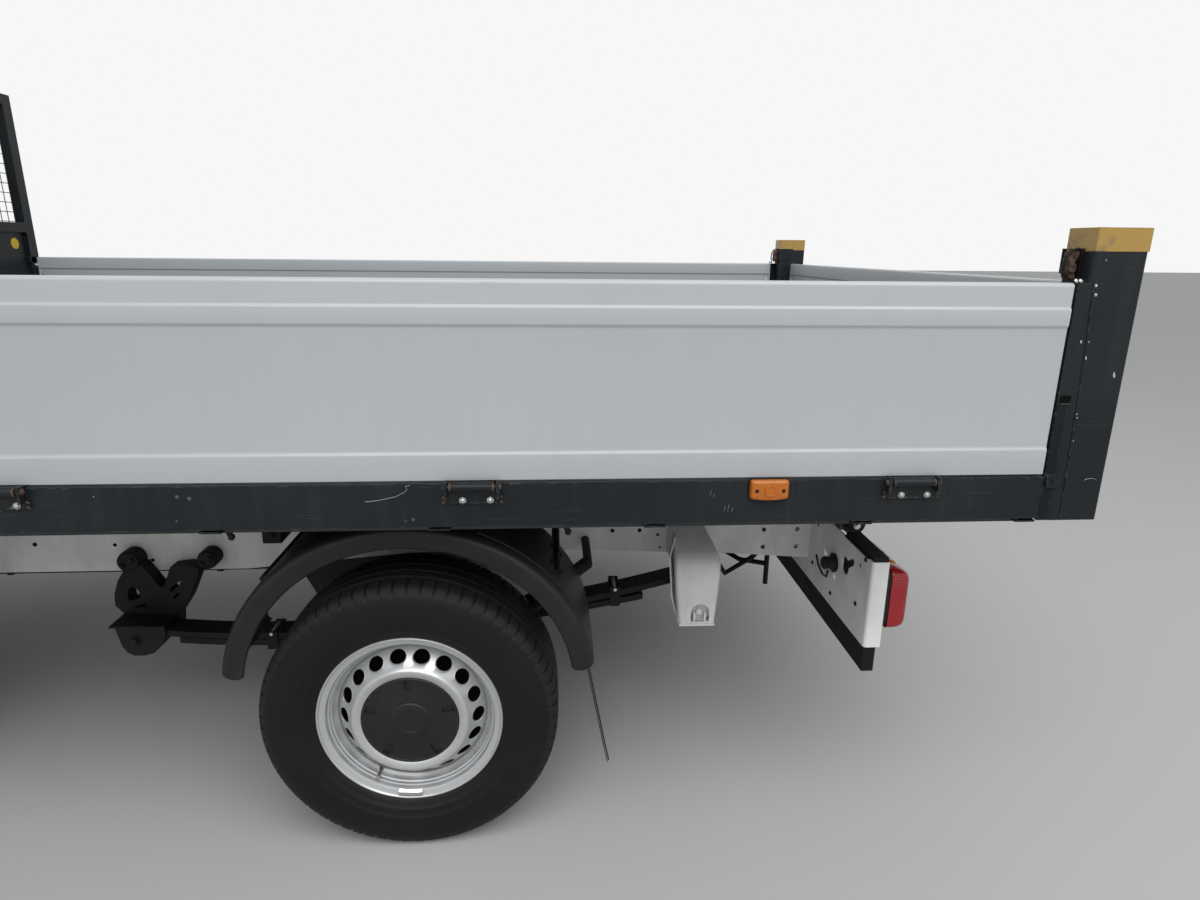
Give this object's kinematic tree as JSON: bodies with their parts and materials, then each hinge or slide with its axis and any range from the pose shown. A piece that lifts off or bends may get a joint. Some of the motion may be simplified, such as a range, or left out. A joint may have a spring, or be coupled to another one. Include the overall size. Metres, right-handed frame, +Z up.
{
  "type": "dropside tipper light truck",
  "caption": "Single-cab light truck with a tipping dropside bed: three hinged boards, rear posts, vented steel wheels, telescopic ram and a hollow cab with doors.",
  "frame": {"origin": "on the ground under the middle of the vehicle's overall length and width", "axes": "+X forward, +Y to the vehicle's left, +Z up"},
  "size_m": [6.203, 2.34, 2.3964],
  "materials": {
    "tyre": "matt, dusty",
    "wheel_paint": "satin silver paint, brake dust",
    "chassis_paint": "weathered grey-brown paint with road film",
    "dark_paint": "satin black-grey powder coat, chipped",
    "board_paint": "light grey paint, dusty",
    "floor_steel": "worn grey paint",
    "black_steel": "matt black",
    "black_plastic": "grained",
    "grey_plastic": "grained",
    "lamp_red": "clear gloss",
    "lamp_clear": "clear gloss",
    "cab_paint": "gloss",
    "glass": "clear",
    "steel": "oiled",
    "chrome": "polished",
    "iron": "raw, oily",
    "seat_cloth": "woven"
  },
  "bodies": {
    "vehicle": {"chassis_frame": "chassis_paint", "rear_crossmember": "chassis_paint", "rear_underrun": "black_steel", "tail_lamps": "lamp_red", "spring_hangers": "black_steel", "spring_brackets": "black_steel", "rear_springs": "black_steel", "rear_axle": "iron", "mudguards": "black_plastic", "tipper_subframe": "dark_paint", "ram_cradle": "dark_paint", "cab_shell": "cab_paint", "cab_glass": "glass", "headlamps": "lamp_clear", "front_bumper": "grey_plastic", "dashboard": "grey_plastic", "seats": "seat_cloth", "front_suspension": "black_steel", "engine": "iron", "propshaft": "steel", "exhaust": "steel", "fuel_tank": "black_plastic"},
    "wheel_rear_left": {"tyre_rear_left": "tyre", "wheel_rear_left": "wheel_paint"},
    "wheel_rear_right": {"tyre_rear_right": "tyre", "wheel_rear_right": "wheel_paint"},
    "carrier_left": {"knuckle_left": "iron"},
    "wheel_front_left": {"tyre_front_left": "tyre", "wheel_front_left": "wheel_paint"},
    "carrier_right": {"knuckle_right": "iron"},
    "wheel_front_right": {"tyre_front_right": "tyre", "wheel_front_right": "wheel_paint"},
    "steering_wheel": {"steering_wheel": "black_plastic"},
    "door_left": {"door_left": "cab_paint", "door_glass_left": "glass", "mirror_left": "black_plastic"},
    "door_right": {"door_right": "cab_paint", "door_glass_right": "glass", "mirror_right": "black_plastic"},
    "bonnet": {"bonnet": "cab_paint"},
    "bed": {"bed_frame": "dark_paint", "bed_floor": "floor_steel", "headboard": "dark_paint", "rear_posts": "dark_paint"},
    "dropside_left": {"dropside_left": "board_paint"},
    "dropside_right": {"dropside_right": "board_paint"},
    "tailboard": {"tailboard": "board_paint"},
    "ram_barrel": {"ram_barrel": "black_steel"},
    "ram_stage_lower": {"ram_stage_lower": "chrome"},
    "ram_stage_upper": {"ram_stage_upper": "chrome"},
    "ram_rod": {"ram_rod": "chrome"}
  },
  "joints": [
    {"name": "spin_rear_left", "type": "hinge", "parent": "vehicle", "child": "wheel_rear_left", "pos_m": [-1.5675, 0.8575, 0.356], "axis": [0, 1, 0], "continuous": true},
    {"name": "spin_rear_right", "type": "hinge", "parent": "vehicle", "child": "wheel_rear_right", "pos_m": [-1.5675, -0.8575, 0.356], "axis": [0, 1, 0], "continuous": true},
    {"name": "steering_left", "type": "hinge", "parent": "vehicle", "child": "carrier_left", "pos_m": [2.0975, 0.765, 0.205], "axis": [0, -0.1961, 0.9806], "range_deg": [-35, 35]},
    {"name": "spin_front_left", "type": "hinge", "parent": "carrier_left", "child": "wheel_front_left", "pos_m": [2.0975, 0.8575, 0.356], "axis": [0, 1, 0], "continuous": true},
    {"name": "steering_right", "type": "hinge", "parent": "vehicle", "child": "carrier_right", "pos_m": [2.0975, -0.765, 0.205], "axis": [0, 0.1961, 0.9806], "range_deg": [-35, 35]},
    {"name": "spin_front_right", "type": "hinge", "parent": "carrier_right", "child": "wheel_front_right", "pos_m": [2.0975, -0.8575, 0.356], "axis": [0, 1, 0], "continuous": true},
    {"name": "steering_column", "type": "hinge", "parent": "vehicle", "child": "steering_wheel", "pos_m": [1.6475, -0.4, 1.23], "axis": [-0.8192, 0, 0.5736], "range_deg": [-525, 525]},
    {"name": "door_left", "type": "hinge", "parent": "vehicle", "child": "door_left", "pos_m": [1.8485, 1.008, 1.1], "axis": [0, 0, -1], "range_deg": [0, 70]},
    {"name": "door_right", "type": "hinge", "parent": "vehicle", "child": "door_right", "pos_m": [1.8485, -1.008, 1.1], "axis": [0, 0, 1], "range_deg": [0, 70]},
    {"name": "bonnet", "type": "hinge", "parent": "vehicle", "child": "bonnet", "pos_m": [2.4855, 0, 1.477], "axis": [0, -1, 0], "range_deg": [0, 60]},
    {"name": "bed_tip", "type": "hinge", "parent": "vehicle", "child": "bed", "pos_m": [-2.7875, 0, 0.69], "axis": [0, -1, 0], "range_deg": [0, 45]},
    {"name": "dropside_left", "type": "hinge", "parent": "bed", "child": "dropside_left", "pos_m": [-1.2875, 1.082, 0.985], "axis": [-1, 0, 0], "range_deg": [0, 180]},
    {"name": "dropside_right", "type": "hinge", "parent": "bed", "child": "dropside_right", "pos_m": [-1.2875, -1.082, 0.985], "axis": [1, 0, 0], "range_deg": [0, 180]},
    {"name": "tailboard", "type": "hinge", "parent": "bed", "child": "tailboard", "pos_m": [-3.0805, 0, 0.985], "axis": [0, -1, 0], "range_deg": [0, 180]},
    {"name": "ram_swing", "type": "hinge", "parent": "vehicle", "child": "ram_barrel", "pos_m": [-1.2175, 0.2, 0.4], "axis": [0, -1, 0], "range_deg": [0, 20.7]},
    {"name": "extend_stage_lower", "type": "slide", "parent": "ram_barrel", "child": "ram_stage_lower", "axis": [0, 0, 1], "range_m": [0, 0.3897]},
    {"name": "extend_stage_upper", "type": "slide", "parent": "ram_stage_lower", "child": "ram_stage_upper", "axis": [0, 0, 1], "range_m": [0, 0.3897]},
    {"name": "extend_rod", "type": "slide", "parent": "ram_stage_upper", "child": "ram_rod", "axis": [0, 0, 1], "range_m": [0, 0.3897]}
  ],
  "couplings": [
    {"joint": "steering_right", "follows": "steering_left", "ratio": 1},
    {"joint": "steering_column", "follows": "steering_left", "ratio": 15},
    {"joint": "ram_swing", "follows": "bed_tip", "ratio": 0.46},
    {"joint": "extend_stage_lower", "follows": "bed_tip", "m_per_rad": 0.496},
    {"joint": "extend_stage_upper", "follows": "bed_tip", "m_per_rad": 0.496},
    {"joint": "extend_rod", "follows": "bed_tip", "m_per_rad": 0.496}
  ]
}
